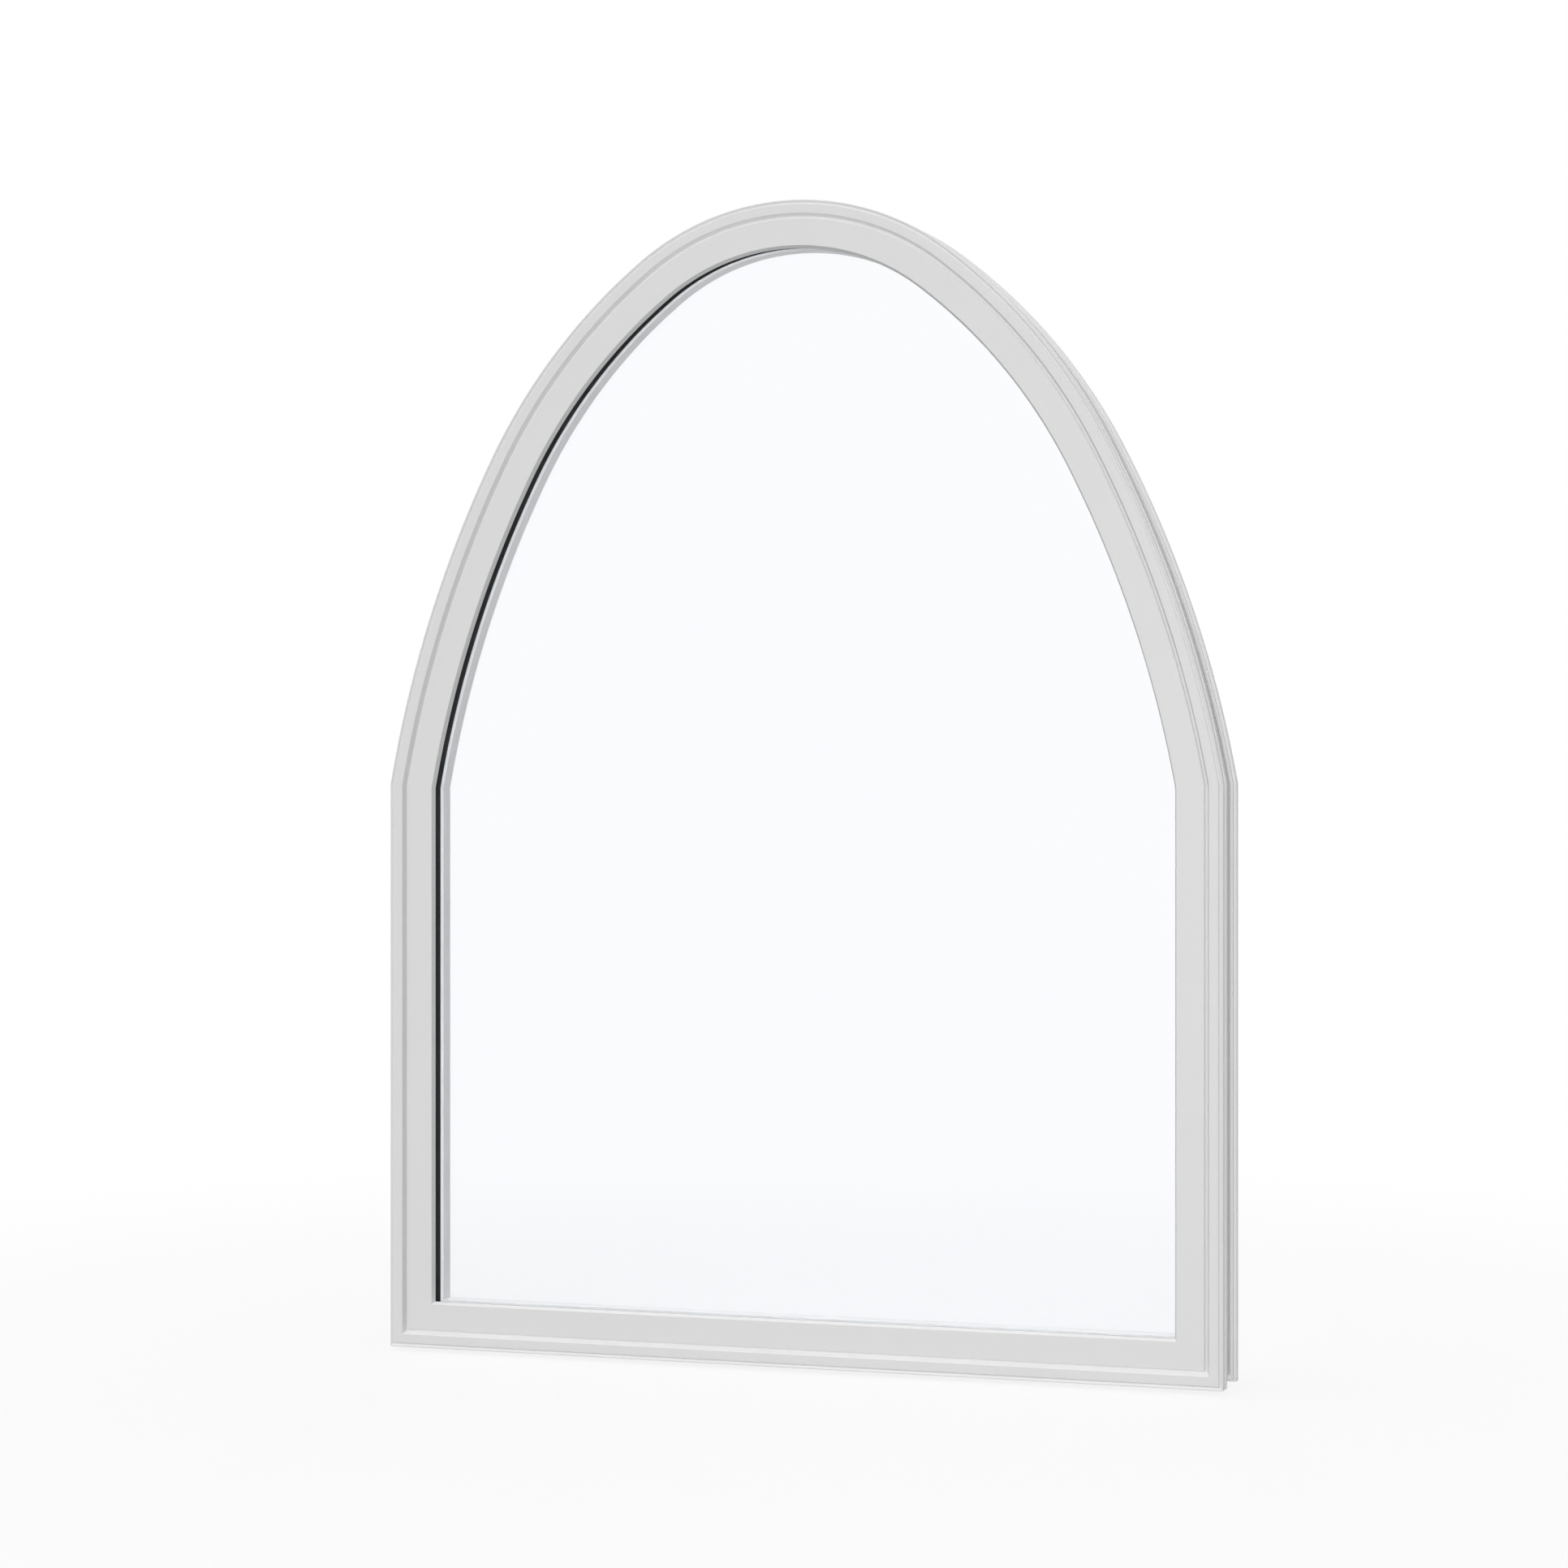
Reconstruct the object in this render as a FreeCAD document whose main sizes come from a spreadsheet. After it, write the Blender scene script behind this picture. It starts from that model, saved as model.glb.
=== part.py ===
"""Arched top window: a fixed sash with a sealed glass unit in a welded plastic frame.

Millimetres, +Z up, +X to the right and +Y into the wall, so the weather side faces -Y. The origin lies
on the underside of the sill's back flange, at the middle of its length and thickness.
Every profile is drawn across its member: its first coordinate runs inwards from the outline of the
frame's lip, and its second runs back from the front of that lip.
"""
import FreeCAD
import Part
import math
import os
import re
import Sketcher

DRIVING_SIZES = [
    # Outline of the frame's lip, seen from the front
    ("frame_width", 900),
    ("springing", 609),
    ("rise", 609),
    ("crown_radius", 269),
    ("crown_angle", 38),
    ("haunch_radius", 609),
    ("haunch_angle", 63),
    # Front of the frame, from the lip inwards
    ("lip_width", 1.1),
    ("lip_bevel", 1.4),
    ("quirk_width", 1),
    ("face_slope", 1.15),
    ("face_proud", 0.8),
    ("face_width", 9.25),
    ("reveal_chamfer", 1.4),
    ("reveal_draft", 0.9),
    ("ledge_back", 6.4),
    ("ledge_width", 2.4),
    # Outer side and back of the frame
    ("lip_depth", 15),
    ("shoulder_out", 1.05),
    ("shoulder_depth", 7.5),
    ("channel_inset", 3.15),
    ("flange_out", 4.2),
    ("flange_thickness", 12),
    ("nib_inset", 0.7),
    ("nib_thickness", 1.9),
    ("nib_height", 7.5),
    ("frame_depth", 87),
    ("stop_width", 8.4),
    ("stop_thickness", 3.5),
    ("back_draft", 2.5),
    # Fixed sash
    ("sash_set_back", 1.5),
    ("sash_edge", 0.9),
    ("sash_face_width", 27.6),
    ("sash_depth", 61.2),
    ("leg_depth", 6.7),
    ("leg_draft", 2.2),
    ("rebate_depth", 12.3),
    # Sealed glass unit and its gaskets
    ("outer_gasket_thickness", 2.2),
    ("inner_gasket_thickness", 1.9),
    ("gasket_set_back", 0.9),
    ("gasket_taper", 0.3),
    ("gasket_width", 6),
    ("pane_thickness", 4),
    ("cavity", 20),
    ("glass_gap", 3),
    ("spacer_height", 4.9),
    # Room side glazing bead
    ("bead_height", 9.4),
    ("bead_edge", 0.4),
    ("bead_draft", 0.5),
    ("bead_round", 2),
    ("bead_heel", 3.5),
    # Clip under the bead, and the groove in the sash that it seats in
    ("groove_set_back", 3.2),
    ("groove_width", 3),
    ("groove_depth", 3.4),
    ("clip_clearance", 0.2),
    ("clip_taper", 0.6),
]

DERIVED_SIZES = [
    ("half_width", "frame_width / 2"),
    # Centres and meeting points of the five arcs of the head, right half
    ("crown_height", "springing + rise - crown_radius"),
    ("crown_end_across", "crown_radius * sin(crown_angle)"),
    ("crown_end_height", "crown_height + crown_radius * cos(crown_angle)"),
    ("haunch_across", "crown_end_across - haunch_radius * sin(crown_angle)"),
    ("haunch_height", "crown_end_height - haunch_radius * cos(crown_angle)"),
    ("haunch_end_across", "haunch_across + haunch_radius * sin(haunch_angle)"),
    ("haunch_end_height", "haunch_height + haunch_radius * cos(haunch_angle)"),
    ("side_run", "half_width - haunch_end_across"),
    ("side_drop", "haunch_end_height - springing"),
    ("side_chord", "side_run * side_run + side_drop * side_drop"),
    ("side_sagitta", "side_drop * cos(haunch_angle) - side_run * sin(haunch_angle)"),
    ("side_radius", "side_chord / (2 * side_sagitta)"),
    ("side_across", "haunch_end_across - side_radius * sin(haunch_angle)"),
    ("side_height", "haunch_end_height - side_radius * cos(haunch_angle)"),
    # Distances inwards from the lip
    ("quirk_outer", "lip_width + lip_bevel"),
    ("quirk_inner", "quirk_outer + quirk_width"),
    ("face_outer", "quirk_inner + face_slope"),
    ("face_inner", "face_outer + face_width"),
    ("ledge_outer", "face_inner + reveal_chamfer + reveal_draft"),
    ("sash_outer", "ledge_outer + ledge_width"),
    ("sash_inner", "sash_outer + sash_edge + sash_face_width"),
    ("leg_inner", "sash_inner + leg_draft"),
    ("rebate_floor", "leg_inner - rebate_depth"),
    ("glass_edge", "rebate_floor + glass_gap"),
    ("spacer_inner", "glass_edge + spacer_height"),
    ("bead_inner", "rebate_floor + bead_height"),
    ("nib_outer", "nib_inset - nib_thickness"),
    ("groove_floor", "rebate_floor - groove_depth"),
    ("clip_tip", "groove_floor + clip_clearance"),
    # Distances back from the front of the lip
    ("shoulder_back", "lip_depth + shoulder_depth"),
    ("flange_front", "frame_depth - flange_thickness"),
    ("sash_back", "sash_set_back + sash_depth"),
    ("leg_back", "sash_set_back + leg_depth"),
    ("glass_front", "leg_back + outer_gasket_thickness"),
    ("cavity_front", "glass_front + pane_thickness"),
    ("cavity_back", "cavity_front + cavity"),
    ("glass_back", "cavity_back + pane_thickness"),
    ("bead_front", "glass_back + inner_gasket_thickness"),
    ("groove_front", "bead_front + bead_heel + groove_set_back"),
    ("groove_back", "groove_front + groove_width"),
    ("clip_front", "groove_front + clip_clearance"),
    ("clip_back", "groove_back - clip_clearance"),
    # Mitre planes: how far they reach out and in from the lip, and their fall at the springing
    ("mitre_out", "flange_out + shoulder_out"),
    ("mitre_reach", "leg_inner + mitre_out"),
    ("mitre_slope", "(springing - side_height) / (side_radius + half_width - side_across)"),
    # Where the lip's outline and front lie from the origin
    ("lip_bottom", "flange_out"),
    ("lip_front", "flange_thickness / 2 - frame_depth"),
]

FRAME_PROFILE = [
    ("0", "0"),
    ("lip_width", "0"),
    ("quirk_outer", "lip_bevel"),
    ("quirk_inner", "lip_bevel"),
    ("face_outer", "-face_proud"),
    ("face_inner", "-face_proud"),
    ("face_inner + reveal_chamfer", "reveal_chamfer - face_proud"),
    ("ledge_outer", "ledge_back"),
    ("sash_outer", "ledge_back"),
    ("sash_outer", "sash_back"),
    ("sash_outer + stop_width", "sash_back"),
    ("sash_outer + stop_width", "sash_back + stop_thickness"),
    ("sash_outer + stop_width - back_draft", "frame_depth"),
    ("-flange_out", "frame_depth"),
    ("-flange_out", "flange_front"),
    ("nib_outer", "flange_front"),
    ("nib_outer", "flange_front - nib_height"),
    ("nib_inset", "flange_front - nib_height"),
    ("nib_inset", "flange_front"),
    ("channel_inset", "flange_front"),
    ("channel_inset", "shoulder_back"),
    ("-shoulder_out", "shoulder_back"),
    ("-shoulder_out", "lip_depth"),
    ("0", "lip_depth"),
]

SASH_PROFILE = [
    ("sash_outer", "sash_set_back + sash_edge"),
    ("sash_outer + sash_edge", "sash_set_back"),
    ("sash_inner", "sash_set_back"),
    ("leg_inner", "leg_back"),
    ("rebate_floor", "leg_back"),
    ("rebate_floor", "groove_front"),
    ("groove_floor", "groove_front"),
    ("groove_floor", "groove_back"),
    ("rebate_floor", "groove_back"),
    ("rebate_floor", "sash_back"),
    ("sash_outer", "sash_back"),
]

BEAD_PROFILE = [
    ("rebate_floor", "bead_front + bead_heel"),
    ("glass_edge", "bead_front"),
    ("bead_inner - bead_edge", "bead_front"),
    ("bead_inner", "bead_front + bead_edge"),
    ("bead_inner - bead_draft", "sash_back - bead_round"),
    ("bead_inner - bead_draft - bead_round", "sash_back"),
    ("rebate_floor", "sash_back"),
    ("rebate_floor", "clip_back"),
    ("clip_tip", "clip_back - clip_taper"),
    ("clip_tip", "clip_front + clip_taper"),
    ("rebate_floor", "clip_front"),
]

OUTER_GASKET_PROFILE = [
    ("leg_inner - gasket_width", "leg_back"),
    ("leg_inner - gasket_set_back", "leg_back"),
    ("leg_inner - gasket_set_back - gasket_taper", "glass_front"),
    ("leg_inner - gasket_width", "glass_front"),
]

INNER_GASKET_PROFILE = [
    ("glass_edge + gasket_taper", "glass_back"),
    ("bead_inner - bead_edge - gasket_set_back - inner_gasket_thickness", "glass_back"),
    ("bead_inner - bead_edge - gasket_set_back", "bead_front"),
    ("glass_edge + gasket_taper", "bead_front"),
]

SPACER_PROFILE = [
    ("glass_edge", "cavity_front"),
    ("spacer_inner", "cavity_front"),
    ("spacer_inner", "cavity_back"),
    ("glass_edge", "cavity_back"),
]

# Each set of four members: its profile, and the labels of its bottom, left, right and arched member
MEMBER_SETS = [
    (FRAME_PROFILE, "frame_sill", "frame_left_jamb", "frame_right_jamb", "frame_arch_head"),
    (SASH_PROFILE, "sash_bottom_rail", "sash_left_stile", "sash_right_stile", "sash_arch_rail"),
    (BEAD_PROFILE, "bead_bottom", "bead_left", "bead_right", "bead_arch"),
    (OUTER_GASKET_PROFILE, "outer_gasket_bottom", "outer_gasket_left", "outer_gasket_right",
     "outer_gasket_arch"),
    (INNER_GASKET_PROFILE, "inner_gasket_bottom", "inner_gasket_left", "inner_gasket_right",
     "inner_gasket_arch"),
    (SPACER_PROFILE, "spacer_bottom", "spacer_left", "spacer_right", "spacer_arch"),
]

SECTION_ACROSS_SILL = FreeCAD.Rotation(
    FreeCAD.Vector(0, 0, 1), FreeCAD.Vector(0, 1, 0), FreeCAD.Vector(-1, 0, 0), "XYZ")
SECTION_ACROSS_JAMB = FreeCAD.Rotation()
SECTION_AT_CROWN = FreeCAD.Rotation(
    FreeCAD.Vector(0, 0, -1), FreeCAD.Vector(0, 1, 0), FreeCAD.Vector(1, 0, 0), "XYZ")
FRONT_VIEW = FreeCAD.Rotation(
    FreeCAD.Vector(1, 0, 0), FreeCAD.Vector(0, 0, 1), FreeCAD.Vector(0, -1, 0), "XYZ")
ACROSS = FreeCAD.Vector(1, 0, 0)
BACK = FreeCAD.Vector(0, 1, 0)
UP = FreeCAD.Vector(0, 0, 1)
SKETCH_ORIGIN = (-1, 1)
START, END, CENTRE = 1, 2, 3

doc = FreeCAD.newDocument("ArchedWindow")
sheet = doc.addObject("Spreadsheet::Sheet", "Sizes")


def fill_sheet():
    """Write each driving size as a plain number and each derived one as a formula of the others."""
    rows = [(alias, str(value)) for alias, value in DRIVING_SIZES]
    rows += [(alias, "=" + formula) for alias, formula in DERIVED_SIZES]
    for row, (alias, text) in enumerate(rows, start=1):
        sheet.set(f"A{row}", alias)
        sheet.setAlias(f"B{row}", alias)
        sheet.set(f"B{row}", text)
    doc.recompute()


ALIASES = {alias for alias, _ in DRIVING_SIZES + DERIVED_SIZES}


def bound(formula):
    """The formula as an expression, with each size read from the sheet."""
    def from_sheet(match):
        word = match.group(0)
        return f"Sizes.{word}" if word in ALIASES else word
    return re.sub(r"[a-z_]+", from_sheet, formula)


def size(formula):
    """The formula's value now."""
    return float(sheet.evalExpression(bound(formula)))


def new_sketch(name, rotation, across, back, height):
    """An empty sketch whose place in the window follows the sheet."""
    sketch = doc.addObject("Sketcher::SketchObject", name)
    sketch.Placement = FreeCAD.Placement(FreeCAD.Vector(), rotation)
    sketch.setExpression("Placement.Base.x", bound(across))
    sketch.setExpression("Placement.Base.y", bound(f"lip_front + {back}"))
    sketch.setExpression("Placement.Base.z", bound(f"lip_bottom + {height}"))
    return sketch


def dimension(sketch, direction, geometry, point, formula):
    """Hold one coordinate of a point at the formula's value."""
    constraint = Sketcher.Constraint(direction, *SKETCH_ORIGIN, geometry, point, size(formula))
    index = sketch.addConstraint(constraint)
    sketch.setExpression(f"Constraints[{index}]", bound(formula))


def locate(sketch, geometry, point, corner):
    """Hold both coordinates of a point."""
    dimension(sketch, "DistanceX", geometry, point, corner[0])
    dimension(sketch, "DistanceY", geometry, point, corner[1])


def join(sketch, first, first_point, second, second_point):
    sketch.addConstraint(Sketcher.Constraint("Coincident", first, first_point, second, second_point))


def polygon(sketch, corners):
    """A closed outline of straight lines."""
    points = [FreeCAD.Vector(size(x), size(y), 0) for x, y in corners]
    count = len(points)
    for index in range(count):
        sketch.addGeometry(Part.LineSegment(points[index], points[(index + 1) % count]))
    for index in range(count):
        join(sketch, index, END, (index + 1) % count, START)
        locate(sketch, index, START, corners[index])


def arc_between(sketch, centre, start, end):
    """An anticlockwise arc about a centre, drawn between two corners."""
    middle = FreeCAD.Vector(size(centre[0]), size(centre[1]), 0)
    first = FreeCAD.Vector(size(start[0]), size(start[1]), 0) - middle
    last = FreeCAD.Vector(size(end[0]), size(end[1]), 0) - middle
    circle = Part.Circle(middle, FreeCAD.Vector(0, 0, 1), first.Length)
    first_angle = math.atan2(first.y, first.x)
    last_angle = math.atan2(last.y, last.x)
    geometry = sketch.addGeometry(Part.ArcOfCircle(circle, first_angle, last_angle))
    locate(sketch, geometry, CENTRE, centre)
    return geometry


def head_arcs(sketch, inset, foot_direction, foot):
    """The head's five tangent arcs at an inset from the lip, from the right foot to the left one."""
    def mirrored(corner):
        return (f"-({corner[0]})", corner[1])
    crown = ("0", "crown_height")
    haunch = ("haunch_across", "haunch_height")
    side = ("side_across", "side_height")
    crown_end = (f"crown_end_across - ({inset}) * sin(crown_angle)",
                 f"crown_end_height - ({inset}) * cos(crown_angle)")
    haunch_end = (f"haunch_end_across - ({inset}) * sin(haunch_angle)",
                  f"haunch_end_height - ({inset}) * cos(haunch_angle)")
    near_foot = (f"half_width - ({inset})", "springing")
    chain = [
        arc_between(sketch, side, near_foot, haunch_end),
        arc_between(sketch, haunch, haunch_end, crown_end),
        arc_between(sketch, crown, crown_end, mirrored(crown_end)),
        arc_between(sketch, mirrored(haunch), mirrored(crown_end), mirrored(haunch_end)),
        arc_between(sketch, mirrored(side), mirrored(haunch_end), mirrored(near_foot)),
    ]
    for lower, upper in zip(chain, chain[1:]):
        join(sketch, lower, END, upper, START)
    locate(sketch, chain[0], END, haunch_end)
    dimension(sketch, "DistanceX", chain[1], END, crown_end[0])
    dimension(sketch, "DistanceX", chain[2], END, mirrored(crown_end)[0])
    dimension(sketch, "DistanceY", chain[3], END, haunch_end[1])
    dimension(sketch, foot_direction, chain[0], START, foot)
    left_foot = f"-({foot})" if foot_direction == "DistanceX" else foot
    dimension(sketch, foot_direction, chain[4], END, left_foot)
    return chain


def extruded(name, sketch, direction, forward, backward="0"):
    solid = doc.addObject("Part::Extrusion", name)
    solid.Base = sketch
    solid.DirMode = "Custom"
    solid.Dir = direction
    solid.Solid = True
    solid.setExpression("LengthFwd", bound(forward))
    solid.setExpression("LengthRev", bound(backward))
    return solid


def zone(name, corners):
    """The space that a member may fill, seen from the front: its ends are the mitre planes."""
    sketch = new_sketch(f"{name}_outline", FRONT_VIEW, "0", "0", "0")
    polygon(sketch, corners)
    return extruded(name, sketch, BACK, "2 * frame_depth", "frame_depth")


def mitre_zones():
    """Zones for the bottom, left and arched members, from the corner and springing mitres."""
    left_bottom_out = ("-half_width - mitre_out", "-mitre_out")
    left_bottom_in = ("mitre_reach - half_width", "mitre_reach")
    left_foot_out = ("-half_width - mitre_out", "springing + mitre_out * mitre_slope")
    left_foot_in = ("mitre_reach - half_width", "springing - mitre_reach * mitre_slope")
    right_bottom_out = ("half_width + mitre_out", left_bottom_out[1])
    right_bottom_in = ("half_width - mitre_reach", left_bottom_in[1])
    right_foot_out = ("half_width + mitre_out", left_foot_out[1])
    right_foot_in = ("half_width - mitre_reach", left_foot_in[1])
    above_right = ("half_width + mitre_out", "springing + rise + mitre_out")
    above_left = ("-half_width - mitre_out", above_right[1])
    bottom = zone("bottom_zone", [left_bottom_out, right_bottom_out, right_bottom_in, left_bottom_in])
    left = zone("left_zone", [left_bottom_out, left_bottom_in, left_foot_in, left_foot_out])
    head = zone("head_zone", [left_foot_out, left_foot_in, right_foot_in, right_foot_out,
                              above_right, above_left])
    return bottom, left, head


def trimmed(label, stock, member_zone):
    """The stock cut to its mitres."""
    member = doc.addObject("Part::Common", label)
    member.Base = stock
    member.Tool = member_zone
    member.Label = label
    return member


def mirrored_member(label, source):
    member = doc.addObject("Part::Mirroring", label)
    member.Source = source
    member.Normal = ACROSS
    member.Label = label
    return member


def member_set(profile, labels, zones, head_path):
    """One profile run round the window as four mitred members."""
    bottom_label, left_label, right_label, head_label = labels
    bottom_zone, left_zone, head_zone = zones

    section = new_sketch(f"{bottom_label}_section", SECTION_ACROSS_SILL, "0", "0", "0")
    polygon(section, profile)
    length = "half_width + mitre_out"
    bottom = trimmed(bottom_label, extruded(f"{bottom_label}_stock", section, ACROSS, length, length),
                     bottom_zone)

    section = new_sketch(f"{left_label}_section", SECTION_ACROSS_JAMB, "-half_width", "0", "0")
    polygon(section, profile)
    left = trimmed(left_label, extruded(f"{left_label}_stock", section, UP, "springing + mitre_out",
                                        "mitre_out"), left_zone)
    right = mirrored_member(right_label, left)

    section = new_sketch(f"{head_label}_section", SECTION_AT_CROWN, "0", "0", "springing + rise")
    polygon(section, profile)
    stock = doc.addObject("Part::Sweep", f"{head_label}_stock")
    stock.Sections = [section]
    stock.Spine = head_path
    stock.Solid = True
    head = trimmed(head_label, stock, head_zone)
    return [bottom, left, right, head]


def glass_pane(label, front):
    """A sheet of glass with the outline of the opening, set into the sash's rebate."""
    sketch = new_sketch(f"{label}_outline", FRONT_VIEW, "0", front, "0")
    right_edge = "half_width - glass_edge"
    arcs = head_arcs(sketch, "glass_edge", "DistanceX", right_edge)
    edge, bottom, foot = size(right_edge), size("glass_edge"), size("springing")
    left_line = sketch.addGeometry(Part.LineSegment(
        FreeCAD.Vector(-edge, foot, 0), FreeCAD.Vector(-edge, bottom, 0)))
    bottom_line = sketch.addGeometry(Part.LineSegment(
        FreeCAD.Vector(-edge, bottom, 0), FreeCAD.Vector(edge, bottom, 0)))
    right_line = sketch.addGeometry(Part.LineSegment(
        FreeCAD.Vector(edge, bottom, 0), FreeCAD.Vector(edge, foot, 0)))
    join(sketch, arcs[-1], END, left_line, START)
    join(sketch, left_line, END, bottom_line, START)
    join(sketch, bottom_line, END, right_line, START)
    join(sketch, right_line, END, arcs[0], START)
    locate(sketch, left_line, END, (f"-({right_edge})", "glass_edge"))
    locate(sketch, bottom_line, END, (right_edge, "glass_edge"))
    pane = extruded(label, sketch, BACK, "pane_thickness")
    pane.Label = label
    return pane


def build():
    fill_sheet()
    zones = mitre_zones()
    path = new_sketch("head_path", FRONT_VIEW, "0", "0", "0")
    arcs = head_arcs(path, "0", "DistanceY", "springing - 2 * mitre_reach * mitre_slope")
    head_path = (path, [f"Edge{index + 1}" for index in arcs])
    pieces = []
    for profile, *labels in MEMBER_SETS:
        pieces += member_set(profile, labels, zones, head_path)
    pieces.append(glass_pane("outer_glass_pane", "glass_front"))
    pieces.append(glass_pane("inner_glass_pane", "cavity_back"))
    doc.recompute()
    return pieces


def check(pieces):
    """Stop before anything is written if a feature failed or a piece isn't one sound solid."""
    for item in doc.Objects:
        if "Invalid" in item.State or "Error" in item.State:
            raise RuntimeError(f"{item.Label} failed: {item.State}")
    for piece in pieces:
        shape = piece.Shape
        if shape.isNull() or not shape.isValid() or len(shape.Solids) != 1 or shape.Volume <= 0:
            raise RuntimeError(f"{piece.Label} isn't one sound solid")


def export(pieces):
    os.makedirs("parts", exist_ok=True)
    for piece in pieces:
        piece.Shape.exportStep(os.path.join("parts", f"{piece.Label}.step"))


window_pieces = build()
check(window_pieces)
export(window_pieces)
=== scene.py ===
"""Dresses the arched top window: white profiles, gaskets, spacer bars and glass, in a plain studio.

Metres, in the frame's own axes. Every section is drawn in millimetres across its member: inwards from
the line of the frame's lip, and back from the front of that lip.
"""
import math

import bmesh
import bpy
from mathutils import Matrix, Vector


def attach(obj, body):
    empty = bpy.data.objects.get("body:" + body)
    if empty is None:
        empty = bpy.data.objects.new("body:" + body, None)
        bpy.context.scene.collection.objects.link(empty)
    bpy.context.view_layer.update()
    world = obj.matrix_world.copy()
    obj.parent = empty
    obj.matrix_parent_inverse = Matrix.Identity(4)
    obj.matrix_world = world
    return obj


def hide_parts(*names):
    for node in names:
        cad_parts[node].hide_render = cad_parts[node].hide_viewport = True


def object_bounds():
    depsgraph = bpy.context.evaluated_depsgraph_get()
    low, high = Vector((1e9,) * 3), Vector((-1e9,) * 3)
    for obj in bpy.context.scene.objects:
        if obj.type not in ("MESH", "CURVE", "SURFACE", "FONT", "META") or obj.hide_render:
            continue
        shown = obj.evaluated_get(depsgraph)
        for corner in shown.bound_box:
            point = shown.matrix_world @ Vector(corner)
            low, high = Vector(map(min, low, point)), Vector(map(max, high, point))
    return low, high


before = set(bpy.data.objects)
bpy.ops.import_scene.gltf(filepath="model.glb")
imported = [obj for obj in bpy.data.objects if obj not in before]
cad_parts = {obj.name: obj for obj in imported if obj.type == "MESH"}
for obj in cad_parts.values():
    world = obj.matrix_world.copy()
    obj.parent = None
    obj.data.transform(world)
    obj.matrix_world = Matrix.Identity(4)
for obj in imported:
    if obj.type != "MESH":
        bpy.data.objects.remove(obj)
CAD_LOW, CAD_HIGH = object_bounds()

bl_info = {
    "name": "Arched Top Window",
    "version": (1, 0, 0),
    "blender": (4, 5, 0),
    "location": "3D View > Sidebar > Window",
    "description": "Fixed window with a tall arched head, sealed glass and a plain studio",
    "category": "Add Mesh",
}

MM = 0.001
BODY = "root"
RIGHT, LEFT = 1, -1
SIDES = ("bottom", "left", "right", "arch")
WHITE = (1.0, 1.0, 1.0, 1.0)

# Lines of the sections inwards from the lip, in millimetres.
FLANGE_OUTER = -4.2
NIB_OUTER, NIB_INNER = -1.2, 0.7
SHOULDER_OUTER = -1.05
CHANNEL_FLOOR = 3.15
LIP_INNER = 1.1
QUIRK_OUTER, QUIRK_INNER = 2.5, 3.5
FACE_OUTER, FACE_INNER = 4.65, 13.9
LEDGE_OUTER = 16.2
STOP_INNER = 27
SASH_OUTER, SASH_INNER = 18.6, 47.1
LEG_INNER = 49.3
REBATE_FLOOR = 37
GROOVE_FLOOR = 33.6
GLASS_EDGE = 40
SPACER_INNER = 44.9
BEAD_INNER = 46.4

# Lines of the sections back from the front of the lip, in millimetres.
FACE_FRONT = -0.8
QUIRK_BACK = 1.4
LEDGE_BACK = 6.4
LIP_BACK = 15
SHOULDER_BACK = 22.5
STOP_BACK = 66.2
NIB_FRONT = 67.5
FLANGE_FRONT = 75
FRAME_BACK = 87
SASH_FRONT, SASH_BACK = 1.5, 62.7
LEG_BACK = 8.2
GLASS_FRONT, GLASS_BACK = 10.4, 38.4
CAVITY_FRONT, CAVITY_BACK = 14.4, 34.4
BEAD_FRONT = 40.3
GROOVE_FRONT, GROOVE_BACK = 47, 50

# Bevels, tapers, widths and gaps in the sections, in millimetres.
BACK_DRAFT = 2.5
SASH_EDGE = 0.9
BEAD_HEEL = 3.5
BEAD_EDGE = 0.4
BEAD_DRAFT = 0.5
BEAD_CHAMFER = 2
CLIP_CLEARANCE = 0.2
CLIP_TAPER = 0.6
GASKET_WIDTH = 6
GASKET_SET_BACK = 0.9
GASKET_TAPER = 0.3
PANE_CLEARANCE = 0.02

FRAME_SECTION = [
    (0, 0),
    (LIP_INNER, 0),
    (QUIRK_OUTER, QUIRK_BACK),
    (QUIRK_INNER, QUIRK_BACK),
    (FACE_OUTER, FACE_FRONT),
    (FACE_INNER, FACE_FRONT),
    (LEDGE_OUTER, LEDGE_BACK),
    (SASH_OUTER, LEDGE_BACK),
    (SASH_OUTER, SASH_BACK),
    (STOP_INNER, SASH_BACK),
    (STOP_INNER, STOP_BACK),
    (STOP_INNER - BACK_DRAFT, FRAME_BACK),
    (FLANGE_OUTER, FRAME_BACK),
    (FLANGE_OUTER, FLANGE_FRONT),
    (NIB_OUTER, FLANGE_FRONT),
    (NIB_OUTER, NIB_FRONT),
    (NIB_INNER, NIB_FRONT),
    (NIB_INNER, FLANGE_FRONT),
    (CHANNEL_FLOOR, FLANGE_FRONT),
    (CHANNEL_FLOOR, SHOULDER_BACK),
    (SHOULDER_OUTER, SHOULDER_BACK),
    (SHOULDER_OUTER, LIP_BACK),
    (0, LIP_BACK),
]

SASH_SECTION = [
    (SASH_OUTER, SASH_FRONT + SASH_EDGE),
    (SASH_OUTER + SASH_EDGE, SASH_FRONT),
    (SASH_INNER, SASH_FRONT),
    (LEG_INNER, LEG_BACK),
    (REBATE_FLOOR, LEG_BACK),
    (REBATE_FLOOR, GROOVE_FRONT),
    (GROOVE_FLOOR, GROOVE_FRONT),
    (GROOVE_FLOOR, GROOVE_BACK),
    (REBATE_FLOOR, GROOVE_BACK),
    (REBATE_FLOOR, SASH_BACK),
    (SASH_OUTER, SASH_BACK),
]

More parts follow.
